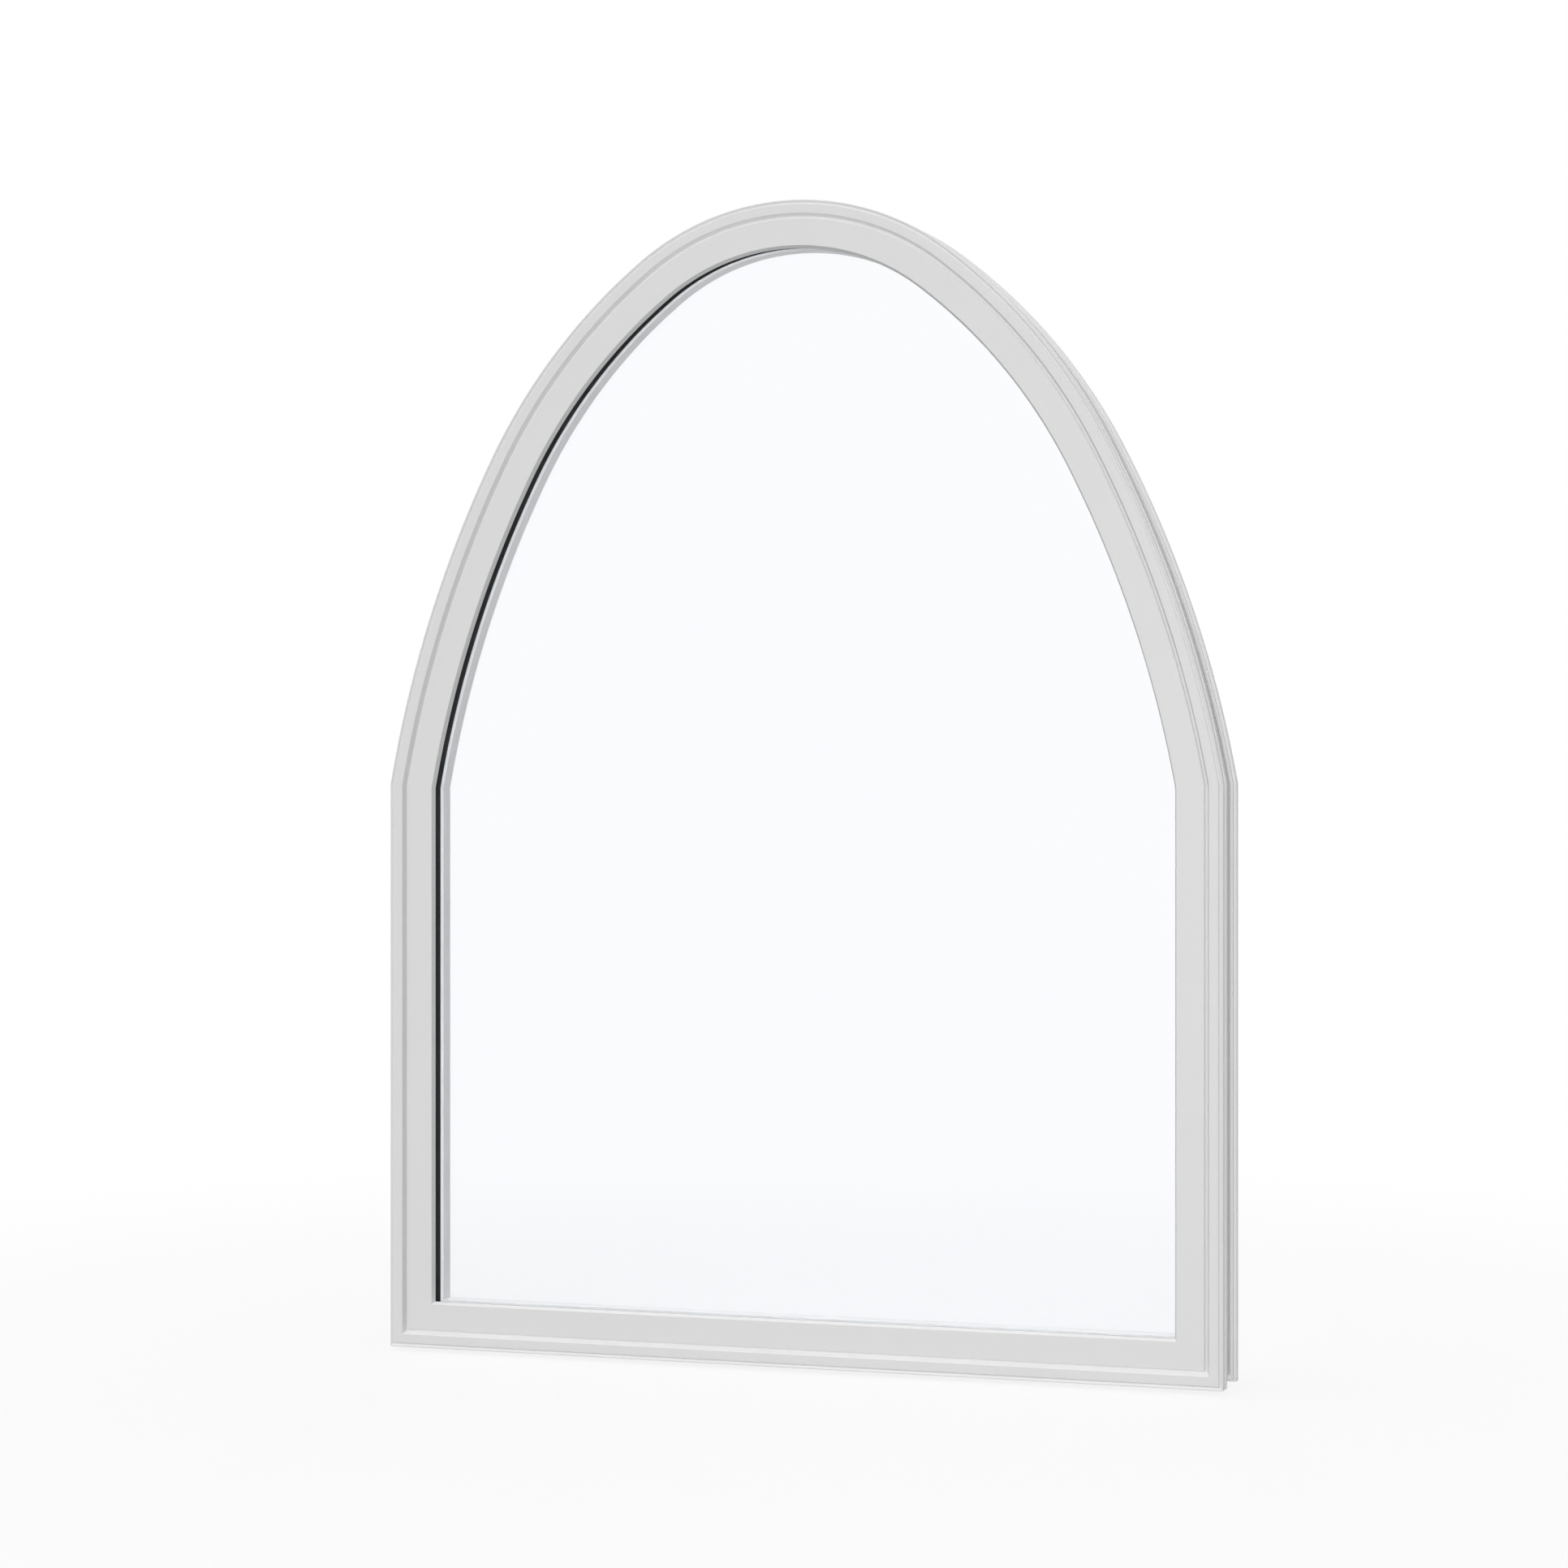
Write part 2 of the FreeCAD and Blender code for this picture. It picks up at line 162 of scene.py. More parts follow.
CLIP_TIP = GROOVE_FLOOR + CLIP_CLEARANCE
CLIP_FRONT, CLIP_BACK = GROOVE_FRONT + CLIP_CLEARANCE, GROOVE_BACK - CLIP_CLEARANCE
BEAD_SECTION = [
    (REBATE_FLOOR, BEAD_FRONT + BEAD_HEEL),
    (GLASS_EDGE, BEAD_FRONT),
    (BEAD_INNER - BEAD_EDGE, BEAD_FRONT),
    (BEAD_INNER, BEAD_FRONT + BEAD_EDGE),
    (BEAD_INNER - BEAD_DRAFT, SASH_BACK - BEAD_CHAMFER),
    (BEAD_INNER - BEAD_DRAFT - BEAD_CHAMFER, SASH_BACK),
    (REBATE_FLOOR, SASH_BACK),
    (REBATE_FLOOR, CLIP_BACK),
    (CLIP_TIP, CLIP_BACK - CLIP_TAPER),
    (CLIP_TIP, CLIP_FRONT + CLIP_TAPER),
    (REBATE_FLOOR, CLIP_FRONT),
]

OUTER_GASKET_EDGE = LEG_INNER - GASKET_SET_BACK
OUTER_GASKET_SECTION = [
    (LEG_INNER - GASKET_WIDTH, LEG_BACK),
    (OUTER_GASKET_EDGE, LEG_BACK),
    (OUTER_GASKET_EDGE - GASKET_TAPER, GLASS_FRONT - PANE_CLEARANCE),
    (LEG_INNER - GASKET_WIDTH, GLASS_FRONT - PANE_CLEARANCE),
]

INNER_GASKET_EDGE = BEAD_INNER - BEAD_EDGE - GASKET_SET_BACK
INNER_GASKET_SLANT = BEAD_FRONT - GLASS_BACK
INNER_GASKET_SECTION = [
    (GLASS_EDGE + GASKET_TAPER, GLASS_BACK + PANE_CLEARANCE),
    (INNER_GASKET_EDGE - INNER_GASKET_SLANT, GLASS_BACK + PANE_CLEARANCE),
    (INNER_GASKET_EDGE, BEAD_FRONT),
    (GLASS_EDGE + GASKET_TAPER, BEAD_FRONT),
]

SPACER_SECTION = [
    (GLASS_EDGE, CAVITY_FRONT + PANE_CLEARANCE),
    (SPACER_INNER, CAVITY_FRONT + PANE_CLEARANCE),
    (SPACER_INNER, CAVITY_BACK - PANE_CLEARANCE),
    (GLASS_EDGE, CAVITY_BACK - PANE_CLEARANCE),
]

# The spacer's inward face and the middle of its depth, in metres.
SPACER_FACE = SPACER_INNER * MM
SPACER_MIDDLE = (CAVITY_FRONT + CAVITY_BACK) / 2 * MM


class OutlineSettings(bpy.types.PropertyGroup):
    """Line of the frame's lip, which every profile runs round"""

    width: bpy.props.FloatProperty(
        name="Width", description="Width across the lip", default=0.900, unit="LENGTH")
    springing: bpy.props.FloatProperty(
        name="Springing", description="Height of the jambs up to the arch", default=0.609, unit="LENGTH")
    rise: bpy.props.FloatProperty(
        name="Rise", description="Height of the arch above the jambs", default=0.609, unit="LENGTH")
    crown_radius: bpy.props.FloatProperty(
        name="Crown Radius", description="Radius of the arc at the top", default=0.269, unit="LENGTH")
    crown_angle: bpy.props.FloatProperty(
        name="Crown Angle", description="Half of the crown arc's angle",
        default=math.radians(38), subtype="ANGLE")
    haunch_radius: bpy.props.FloatProperty(
        name="Haunch Radius", description="Radius of the arcs beside the crown", default=0.609,
        unit="LENGTH")
    haunch_angle: bpy.props.FloatProperty(
        name="Haunch Angle", description="Angle from the top at which the haunch ends",
        default=math.radians(63), subtype="ANGLE")
    lip_bottom: bpy.props.FloatProperty(
        name="Lip Height", description="Height of the lip's bottom edge above the flange",
        default=0.0042, unit="LENGTH")
    lip_front: bpy.props.FloatProperty(
        name="Lip Front", description="Place of the lip's front along Y", default=-0.081, unit="LENGTH")
    arc_step: bpy.props.FloatProperty(
        name="Arc Step", description="Angle between two cross sections of the arch",
        default=math.radians(0.75), subtype="ANGLE")


class EdgeSettings(bpy.types.PropertyGroup):
    """Rounding of the extruded edges"""

    profile_radius: bpy.props.FloatProperty(
        name="Profile Edge", description="Radius on the edges of the white profiles",
        default=0.0003, unit="LENGTH")
    gasket_radius: bpy.props.FloatProperty(
        name="Gasket Edge", description="Radius on the edges of the rubber strips",
        default=0.0004, unit="LENGTH")
    spacer_radius: bpy.props.FloatProperty(
        name="Spacer Edge", description="Radius on the edges of the spacer bars",
        default=0.0006, unit="LENGTH")
    bead_joint: bpy.props.FloatProperty(
        name="Bead Joint", description="Gap between two beads at their mitre", default=0.00025,
        unit="LENGTH")
    steps: bpy.props.IntProperty(
        name="Edge Steps", description="Points in each rounded edge", default=3, min=1)


class FinishSettings(bpy.types.PropertyGroup):
    """Colours and gloss of the window's materials"""

    white: bpy.props.FloatVectorProperty(
        name="White Plastic", description="Colour of the frame, sash and beads",
        default=(0.840, 0.840, 0.838), size=3, subtype="COLOR")
    white_roughness: bpy.props.FloatProperty(
        name="White Roughness", description="Mean roughness of the white plastic",
        default=0.38, subtype="FACTOR")
    spacer: bpy.props.FloatVectorProperty(
        name="Spacer Black", description="Colour of the spacer bars",
        default=(0.042, 0.042, 0.043), size=3, subtype="COLOR")
    # Near-black colour of the low discs on the spacer bars: painted shade standing in for the dark inside
    # of the vent holes.
    vent_shade: bpy.props.FloatVectorProperty(
        name="Vent Holes", description="Colour inside the spacer's vent holes",
        default=(0.004, 0.004, 0.004), size=3, subtype="COLOR")
    rubber: bpy.props.FloatVectorProperty(
        name="Rubber Black", description="Colour of the outer gaskets",
        default=(0.030, 0.030, 0.031), size=3, subtype="COLOR")
    pale_rubber: bpy.props.FloatVectorProperty(
        name="Pale Rubber", description="Colour of the inner gaskets",
        default=(0.82, 0.82, 0.82), size=3, subtype="COLOR")
    glass: bpy.props.FloatVectorProperty(
        name="Glass Tint", description="Tint of each pane", default=(0.978, 0.984, 0.995),
        size=3, subtype="COLOR")


class VentSettings(bpy.types.PropertyGroup):
    """Vent holes along the spacer bars, drawn as low discs in painted shade"""

    pitch: bpy.props.FloatProperty(
        name="Pitch", description="Distance from hole to hole", default=0.008, unit="LENGTH")
    radius: bpy.props.FloatProperty(
        name="Radius", description="Radius of a hole", default=0.0005, unit="LENGTH")
    row_offset: bpy.props.FloatProperty(
        name="Row Offset", description="Distance of each row from the bar's middle", default=0.006,
        unit="LENGTH")
    height: bpy.props.FloatProperty(
        name="Rim Height", description="Height of a hole's rim above the bar", default=0.00008,
        unit="LENGTH")


class StageSettings(bpy.types.PropertyGroup):
    """Floor, light and camera"""

    lens: bpy.props.FloatProperty(
        name="Lens", description="Focal length on a 36 mm sensor", default=69.0, unit="CAMERA")
    camera_place: bpy.props.FloatVectorProperty(
        name="Camera Place", description="Where the camera stands", default=(0.8439, -3.0992, 0.6131),
        size=3, subtype="TRANSLATION")
    camera_turn: bpy.props.FloatProperty(
        name="Camera Turn", description="Turn of the level camera about the vertical",
        default=math.radians(15.746), subtype="ANGLE")
    ambient: bpy.props.FloatProperty(
        name="Ambient", description="Brightness of the studio all round", default=0.15, min=0)
    key_strength: bpy.props.FloatProperty(
        name="Key Light", description="Strength of the light from the front and above", default=1.12, min=0)
    key_spread: bpy.props.FloatProperty(
        name="Key Spread", description="Angle that the key light covers", default=math.radians(12),
        subtype="ANGLE")
    top_strength: bpy.props.FloatProperty(
        name="Top Light", description="Strength of the soft light overhead", default=0.35, min=0)
    top_spread: bpy.props.FloatProperty(
        name="Top Spread", description="Angle that the soft light overhead covers",
        default=math.radians(45), subtype="ANGLE")
    front_power: bpy.props.FloatProperty(
        name="Front Light", description="Power of the round light behind the camera", default=37.0, min=0,
        unit="POWER")
    back_power: bpy.props.FloatProperty(
        name="Back Light", description="Power of the round light behind the window", default=34.0, min=0,
        unit="POWER")
    lamp_size: bpy.props.FloatProperty(
        name="Lamp Size", description="Width of the two round lights", default=0.5, unit="LENGTH")
    front_fill: bpy.props.FloatProperty(
        name="Front Fill", description="Strength of the broad fill in front", default=0.84, min=0)
    back_fill: bpy.props.FloatProperty(
        name="Back Fill", description="Strength of the broad fill behind", default=0.86, min=0)
    floor_radius: bpy.props.FloatProperty(
        name="Floor Radius", description="Radius of the round floor", default=12.0, unit="LENGTH")
    floor_shade: bpy.props.FloatVectorProperty(
        name="Floor Colour", description="Colour of the pale floor", default=(0.90, 0.90, 0.90), size=3,
        subtype="COLOR")
    floor_bounce: bpy.props.FloatVectorProperty(
        name="Floor Bounce", description="Share of the light that the floor sends back up",
        default=(0.50, 0.50, 0.50), size=3, subtype="COLOR")
    shadow_share: bpy.props.FloatProperty(
        name="Shadow Share", description="How much of the object's shadow shows on the floor", default=0.25,
        subtype="FACTOR")


def settings(name):
    """One group of the window's settings."""
    return getattr(bpy.context.scene, f"arched_window_{name}")


def new_node(tree, kind, **values):
    """A node with its settings."""
    made = tree.nodes.new(kind)
    for name, value in values.items():
        setattr(made, name, value)
    return made


def feed(tree, target, socket, source, output=0):
    """Link one node's output to a socket of another."""
    tree.links.new(source.outputs[output], target.inputs[socket])


def arc_points(centre, radius, first, last, step):
    """Points and inward directions along an arc, by angle from the vertical, without its end."""
    count = max(2, round(abs(last - first) / step))
    found = []
    for index in range(count):
        angle = first + (last - first) * index / count
        across, up = math.sin(angle), math.cos(angle)
        found.append(((centre[0] + radius * across, centre[1] + radius * up), (-across, -up)))
    return found


def arch_shape(outline):
    """Centres and radii of the right half's side, haunch and crown arcs, and the side arc's foot angle."""
    half, crown, haunch = outline.width / 2, outline.crown_radius, outline.haunch_radius
    near, far = outline.crown_angle, outline.haunch_angle
    crown_centre = (0.0, outline.springing + outline.rise - crown)
    haunch_centre = ((crown - haunch) * math.sin(near), crown_centre[1] + (crown - haunch) * math.cos(near))
    end = (haunch_centre[0] + haunch * math.sin(far), haunch_centre[1] + haunch * math.cos(far))
    run, drop = half - end[0], end[1] - outline.springing
    side = (run * run + drop * drop) / (2 * (drop * math.cos(far) - run * math.sin(far)))
    side_centre = (end[0] - side * math.sin(far), end[1] - side * math.cos(far))
    foot = math.atan2(half - side_centre[0], outline.springing - side_centre[1])
    return (side_centre, side), (haunch_centre, haunch), (crown_centre, crown), foot


def springing_slope(outline):
    """Fall of the springing mitre for each metre inwards."""
    (side_centre, side), _, _, _ = arch_shape(outline)
    rise = outline.springing - side_centre[1]
    return rise / (side + outline.width / 2 - side_centre[0])


def head_line(outline):
    """The arch from the right foot to the left one, as points with inward directions."""
    side, haunch, crown, foot = arch_shape(outline)
    step = outline.arc_step
    right = arc_points(*side, foot, outline.haunch_angle, step)
    right += arc_points(*haunch, outline.haunch_angle, outline.crown_angle, step)
    right += arc_points(*crown, outline.crown_angle, 0.0, step)
    right[0] = (right[0][0], (-1.0, -springing_slope(outline)))
    top = ((0.0, outline.springing + outline.rise), (0.0, -1.0))
    left = [((-x, z), (-across, up)) for (x, z), (across, up) in reversed(right)]
    return right + [top] + left


MEMBER_SHARES = (0.12, 0.31, 0.5, 0.69, 0.88)


def between(start, end, inward):
    """Points inside a straight member, where nothing is mitred."""
    return [((start[0] + (end[0] - start[0]) * share, start[1] + (end[1] - start[1]) * share), inward)
            for share in MEMBER_SHARES]


def sill_line(outline):
    """The lip along the sill, from the left corner to the right one."""
    half = outline.width / 2
    start, end = (-half, 0.0), (half, 0.0)
    return [(start, (1.0, 1.0)), *between(start, end, (0.0, 1.0)), (end, (-1.0, 1.0))]


def jamb_line(outline, hand):
    """The lip along one jamb, from the sill up to the springing."""
    half = outline.width / 2
    foot, top = (hand * half, 0.0), (hand * half, outline.springing)
    inward = (-hand, 0.0)
    return [(foot, (-hand, 1.0)), *between(foot, top, inward), (top, (-hand, -springing_slope(outline)))]


def member_lines():
    """The lip's line along each member, by side."""
    outline = settings("outline")
    return {
        "bottom": sill_line(outline),
        "left": jamb_line(outline, LEFT),
        "right": jamb_line(outline, RIGHT),
        "arch": head_line(outline),
    }


def shortened(line, gap):
    """The line with each end drawn back along its member."""
    ends = []
    for (end, inward), (next_point, _) in ((line[0], line[1]), (line[-1], line[-2])):
        step = Vector(next_point) - Vector(end)
        ends.append((tuple(Vector(end) + step.normalized() * gap), inward))
    return [ends[0], *line[1:-1], ends[1]]


def moved_in(line, across):
    """The line moved inwards on to a face, with each direction square to its member."""
    moved = [((x + inward[0] * across, z + inward[1] * across), inward) for (x, z), inward in line]
    first, last = (moved[0][0], moved[1][1]), (moved[-1][0], moved[-2][1])
    return [first, *moved[1:-1], last]


def line_object(name, *lines):
    """Lines of the lip as a mesh of edges, with the inward direction at each point."""
    outline = settings("outline")
    points, edges, directions = [], [], []
    for line in lines:
        edges += [(len(points) + i, len(points) + i + 1) for i in range(len(line) - 1)]
        points += [(x, outline.lip_front, outline.lip_bottom + z) for (x, z), _ in line]
        directions += [(across, 0.0, up) for _, (across, up) in line]
    mesh = bpy.data.meshes.new(name)
    mesh.from_pydata(points, edges, [])
    inward = mesh.attributes.new("inward", "FLOAT_VECTOR", "POINT")
    for item, direction in zip(inward.data, directions):
        item.vector = direction
    made = bpy.data.objects.new(name, mesh)
    bpy.context.scene.collection.objects.link(made)
    return made


def section_object(name, section):
    """A closed section as a mesh of edges, in metres."""
    count = len(section)
    mesh = bpy.data.meshes.new(name)
    mesh.from_pydata([(across * MM, back * MM, 0.0) for across, back in section],
                     [(i, (i + 1) % count) for i in range(count)], [])
    made = bpy.data.objects.new(name, mesh)
    bpy.context.scene.collection.objects.link(made)
    return made


def new_tree(name, inputs):
    """A geometry tree with a geometry in and out and these named inputs."""
    tree = bpy.data.node_groups.new(name, "GeometryNodeTree")
    tree.interface.new_socket("Geometry", in_out="INPUT", socket_type="NodeSocketGeometry")
    for label, kind in inputs:
        tree.interface.new_socket(label, in_out="INPUT", socket_type=kind)
    tree.interface.new_socket("Geometry", in_out="OUTPUT", socket_type="NodeSocketGeometry")
    return tree, tree.nodes.new("NodeGroupInput"), tree.nodes.new("NodeGroupOutput")


def kept(tree, geometry, name, kind, source, output=0, domain="POINT"):
    """Store a value on the geometry under a name."""
    store = new_node(tree, "GeometryNodeStoreNamedAttribute", data_type=kind, domain=domain)
    store.inputs["Name"].default_value = name
    tree.links.new(geometry, store.inputs["Geometry"])
    feed(tree, store, "Value", source, output)
    return store.outputs["Geometry"]


def read(tree, name, kind):
    """A value that the geometry carries under a name."""
    found = new_node(tree, "GeometryNodeInputNamedAttribute", data_type=kind)
    found.inputs["Name"].default_value = name
    return found


def finish_tree(tree, geometry, start, end):
    """End a tree with plain geometry and its material."""
    realise = tree.nodes.new("GeometryNodeRealizeInstances")
    tree.links.new(geometry, realise.inputs["Geometry"])
    dress = tree.nodes.new("GeometryNodeSetMaterial")
    feed(tree, dress, "Geometry", realise)
    tree.links.new(start.outputs["Finish"], dress.inputs["Material"])
    feed(tree, end, "Geometry", dress)


def section_run_tree():
    """Runs a rounded section along a line: place + across x inward + back along Y."""
    tree, start, end = new_tree("Section Run", [
        ("Section", "NodeSocketObject"), ("Edge Radius", "NodeSocketFloat"),
        ("Edge Steps", "NodeSocketInt"), ("Finish", "NodeSocketMaterial")])
    along = tree.nodes.new("GeometryNodeSplineParameter")
    place = tree.nodes.new("GeometryNodeInputPosition")

    line = tree.nodes.new("GeometryNodeMeshToCurve")
    feed(tree, line, "Mesh", start)
    run = kept(tree, line.outputs["Curve"], "place", "FLOAT_VECTOR", place)
    run = kept(tree, run, "run", "FLOAT", along, "Length")

    drawn = tree.nodes.new("GeometryNodeObjectInfo")
    tree.links.new(start.outputs["Section"], drawn.inputs["Object"])
    ring = tree.nodes.new("GeometryNodeMeshToCurve")
    feed(tree, ring, "Mesh", drawn, "Geometry")
    rounded = new_node(tree, "GeometryNodeFilletCurve", mode="POLY")
    rounded.inputs["Limit Radius"].default_value = True
    feed(tree, rounded, "Curve", ring)
    tree.links.new(start.outputs["Edge Steps"], rounded.inputs["Count"])
    tree.links.new(start.outputs["Edge Radius"], rounded.inputs["Radius"])
    corner = tree.nodes.new("ShaderNodeSeparateXYZ")
    feed(tree, corner, 0, place)
    section = kept(tree, rounded.outputs["Curve"], "across", "FLOAT", corner, "X")
    section = kept(tree, section, "back", "FLOAT", corner, "Y")
    section = kept(tree, section, "girth", "FLOAT", along, "Length")

    skin = tree.nodes.new("GeometryNodeCurveToMesh")
    skin.inputs["Fill Caps"].default_value = True
    tree.links.new(run, skin.inputs["Curve"])
    tree.links.new(section, skin.inputs["Profile Curve"])

    inwards = new_node(tree, "ShaderNodeVectorMath", operation="SCALE")
    feed(tree, inwards, "Vector", read(tree, "inward", "FLOAT_VECTOR"))
    feed(tree, inwards, "Scale", read(tree, "across", "FLOAT"))
    backwards = tree.nodes.new("ShaderNodeCombineXYZ")
    feed(tree, backwards, "Y", read(tree, "back", "FLOAT"))
    offset = new_node(tree, "ShaderNodeVectorMath", operation="ADD")
    feed(tree, offset, 0, inwards)
    feed(tree, offset, 1, backwards)
    spot = new_node(tree, "ShaderNodeVectorMath", operation="ADD")
    feed(tree, spot, 0, read(tree, "place", "FLOAT_VECTOR"))
    feed(tree, spot, 1, offset)
    moved = tree.nodes.new("GeometryNodeSetPosition")
    feed(tree, moved, "Geometry", skin)
    feed(tree, moved, "Position", spot)

    lengths = tree.nodes.new("ShaderNodeCombineXYZ")
    feed(tree, lengths, "X", read(tree, "run", "FLOAT"))
    feed(tree, lengths, "Y", read(tree, "girth", "FLOAT"))
    skin_out = kept(tree, moved.outputs["Geometry"], "UVMap", "FLOAT2", lengths, domain="CORNER")
    for name in ("place", "run", "inward", "across", "back", "girth"):
        drop = tree.nodes.new("GeometryNodeRemoveAttribute")
        drop.inputs["Name"].default_value = name
        tree.links.new(skin_out, drop.inputs["Geometry"])
        skin_out = drop.outputs["Geometry"]
    smooth = tree.nodes.new("GeometryNodeSetShadeSmooth")
    tree.links.new(skin_out, smooth.inputs["Geometry"])
    finish_tree(tree, smooth.outputs["Geometry"], start, end)
    return tree


def baked(source, tree, values, name):
    """The tree's result on the source as a plain mesh object, and the source removed."""
    modifier = source.modifiers.new(tree.name, "NODES")
    modifier.node_group = tree
    for item in tree.interface.items_tree:
        if item.in_out == "INPUT" and item.name in values:
            modifier[item.identifier] = values[item.name]
    graph = bpy.context.evaluated_depsgraph_get()
    mesh = bpy.data.meshes.new_from_object(
        source.evaluated_get(graph), preserve_all_data_layers=True, depsgraph=graph)
    if not mesh.polygons:
        raise RuntimeError(f"{name} came out empty")
    mesh.name = name
    bpy.data.objects.remove(source)
    made = bpy.data.objects.new(name, mesh)
    bpy.context.scene.collection.objects.link(made)
    return made


SHARP_ANGLE = math.radians(40)


def turned_out(piece):
    """Point every face outwards, keep the mitred ends sharp and the flats flat."""
    work = bmesh.new()
    work.from_mesh(piece.data)
    bmesh.ops.recalc_face_normals(work, faces=work.faces[:])
    work.to_mesh(piece.data)
    work.free()
    piece.data.set_sharp_from_angle(angle=SHARP_ANGLE)
    flats = piece.modifiers.new("Flat Faces", "WEIGHTED_NORMAL")
    flats.mode = "FACE_AREA"
    flats.keep_sharp = True


def section_run(section, radius, finish, members, kind, joint=0.0):
    """Run a section round the window as mitred members, each in place of its node."""
    tree = bpy.data.node_groups.get("Section Run") or section_run_tree()
    lines = member_lines()
    drawing = section_object(f"{kind}_section", section)
    for side, node in members.items():
        name = f"{node}_{kind}"
        values = {"Section": drawing, "Edge Radius": radius, "Edge Steps": settings("edges").steps,
                  "Finish": finish}
        line = shortened(lines[side], joint / 2)
        piece = baked(line_object(f"{name}_line", line), tree, values, name)
        turned_out(piece)
        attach(piece, BODY)
        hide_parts(node)
    bpy.data.objects.remove(drawing)


VENT_SIDES = 8


def vent_tree():
    """Two rows of small round vents along each line, set back from it, that face inwards: low discs whose
    material paints the shade inside the holes.
    """
    tree, start, end = new_tree("Vent Rows", [
        ("Front Row", "NodeSocketFloat"), ("Back Row", "NodeSocketFloat"), ("Pitch", "NodeSocketFloat"),
        ("Radius", "NodeSocketFloat"), ("Height", "NodeSocketFloat"), ("Finish", "NodeSocketMaterial")])
    vent_shade = tree.nodes.new("GeometryNodeMeshCylinder")
    vent_shade.inputs["Vertices"].default_value = VENT_SIDES
    feed(tree, vent_shade, "Radius", start, "Radius")
    feed(tree, vent_shade, "Depth", start, "Height")
    facing = new_node(tree, "FunctionNodeAlignRotationToVector", axis="Z")
    feed(tree, facing, "Vector", read(tree, "inward", "FLOAT_VECTOR"))
    rows = tree.nodes.new("GeometryNodeJoinGeometry")
    for row in ("Front Row", "Back Row"):
        backwards = tree.nodes.new("ShaderNodeCombineXYZ")
        feed(tree, backwards, "Y", start, row)
        moved = tree.nodes.new("GeometryNodeSetPosition")
        feed(tree, moved, "Geometry", start)
        feed(tree, moved, "Offset", backwards)
        line = tree.nodes.new("GeometryNodeMeshToCurve")
        feed(tree, line, "Mesh", moved)
        spaced = new_node(tree, "GeometryNodeResampleCurve", mode="LENGTH")
        feed(tree, spaced, "Curve", line)
        feed(tree, spaced, "Length", start, "Pitch")
        placed = tree.nodes.new("GeometryNodeInstanceOnPoints")
        feed(tree, placed, "Points", spaced)
        feed(tree, placed, "Instance", vent_shade, "Mesh")
        feed(tree, placed, "Rotation", facing)
        feed(tree, rows, "Geometry", placed)
    finish_tree(tree, rows.outputs["Geometry"], start, end)
    return tree


def vent_rows(finish):
    """Vents on the faces of all four spacer bars, as one piece: near-black discs of painted shade in place
    of holes.
    """
    vents = settings("vents")
    values = {"Front Row": SPACER_MIDDLE - vents.row_offset, "Back Row": SPACER_MIDDLE + vents.row_offset,
              "Pitch": vents.pitch, "Radius": vents.radius, "Height": 2 * vents.height, "Finish": finish}
    lines = [shortened(moved_in(line, SPACER_FACE), vents.pitch / 2) for line in member_lines().values()]
    piece = baked(line_object("spacer_vent_line", *lines), vent_tree(), values, "spacer_vents")
    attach(piece, BODY)


def new_finish(name):
    """A material with its shader, and what its patterns read."""
    material = bpy.data.materials.new(name)
    material.use_nodes = True
    tree = material.node_tree
    shader = tree.nodes["Principled BSDF"]
    return material, tree, shader, tree.nodes.new("ShaderNodeTexCoord")


def pattern(tree, coordinates, output, scale, detail):
    """Noise at this many cycles a metre along each axis."""
    placed = tree.nodes.new("ShaderNodeMapping")
    placed.inputs["Scale"].default_value = scale
    feed(tree, placed, "Vector", coordinates, output)
    noise = tree.nodes.new("ShaderNodeTexNoise")
    noise.inputs["Scale"].default_value = 1.0
    noise.inputs["Detail"].default_value = detail
    feed(tree, noise, "Vector", placed)
    return noise


NOISE_LOW, NOISE_HIGH = 0.3, 0.7


def spread(tree, source, low, high):
    """The source's middle range spread between two values."""
    ranged = tree.nodes.new("ShaderNodeMapRange")
    ranged.inputs["From Min"].default_value = NOISE_LOW
    ranged.inputs["From Max"].default_value = NOISE_HIGH
    ranged.inputs["To Min"].default_value = low
    ranged.inputs["To Max"].default_value = high
    feed(tree, ranged, "Value", source)
    return ranged


def shaded(tree, shader, source, colour, change):
    """Vary the colour a little either side of its value."""
    mix = new_node(tree, "ShaderNodeMix", data_type="RGBA")
    dark, light = [c * (1 - change) for c in colour], [min(1.0, c * (1 + change)) for c in colour]
    mix.inputs["A"].default_value = (*dark, 1.0)
    mix.inputs["B"].default_value = (*light, 1.0)
    feed(tree, mix, "Factor", spread(tree, source, 0.0, 1.0))
    feed(tree, shader, "Base Color", mix, "Result")


def relief(tree, shader, source, strength, depth):
    """Raise the surface a little where the source is high."""
    bump = tree.nodes.new("ShaderNodeBump")
    bump.inputs["Strength"].default_value = strength
    bump.inputs["Distance"].default_value = depth
    feed(tree, bump, "Height", source)
    feed(tree, shader, "Normal", bump)


CLOUD_SCALE = (14.0, 14.0, 14.0)
LINE_SCALE = (2.5, 1800.0, 1.0)
EXTRUDED_DETAIL = 3.0
ROUGHNESS_CHANGE = 0.04
LINE_STRENGTH = 0.12
PLASTIC_IOR = 1.53


def extruded_finish(name, colour, roughness, change, line_depth, shine=0.5):
    """Plastic or rubber drawn through a die: cloudy gloss and faint lines along the member."""
    material, tree, shader, coordinates = new_finish(name)
    cloud = pattern(tree, coordinates, "Object", CLOUD_SCALE, EXTRUDED_DETAIL)
    lines = pattern(tree, coordinates, "UV", LINE_SCALE, EXTRUDED_DETAIL)
    shaded(tree, shader, cloud, colour, change)
    feed(tree, shader, "Roughness",
         spread(tree, cloud, roughness - ROUGHNESS_CHANGE, roughness + ROUGHNESS_CHANGE))
    relief(tree, shader, lines, LINE_STRENGTH, line_depth)
    shader.inputs["IOR"].default_value = PLASTIC_IOR
    shader.inputs["Specular IOR Level"].default_value = shine
    return material


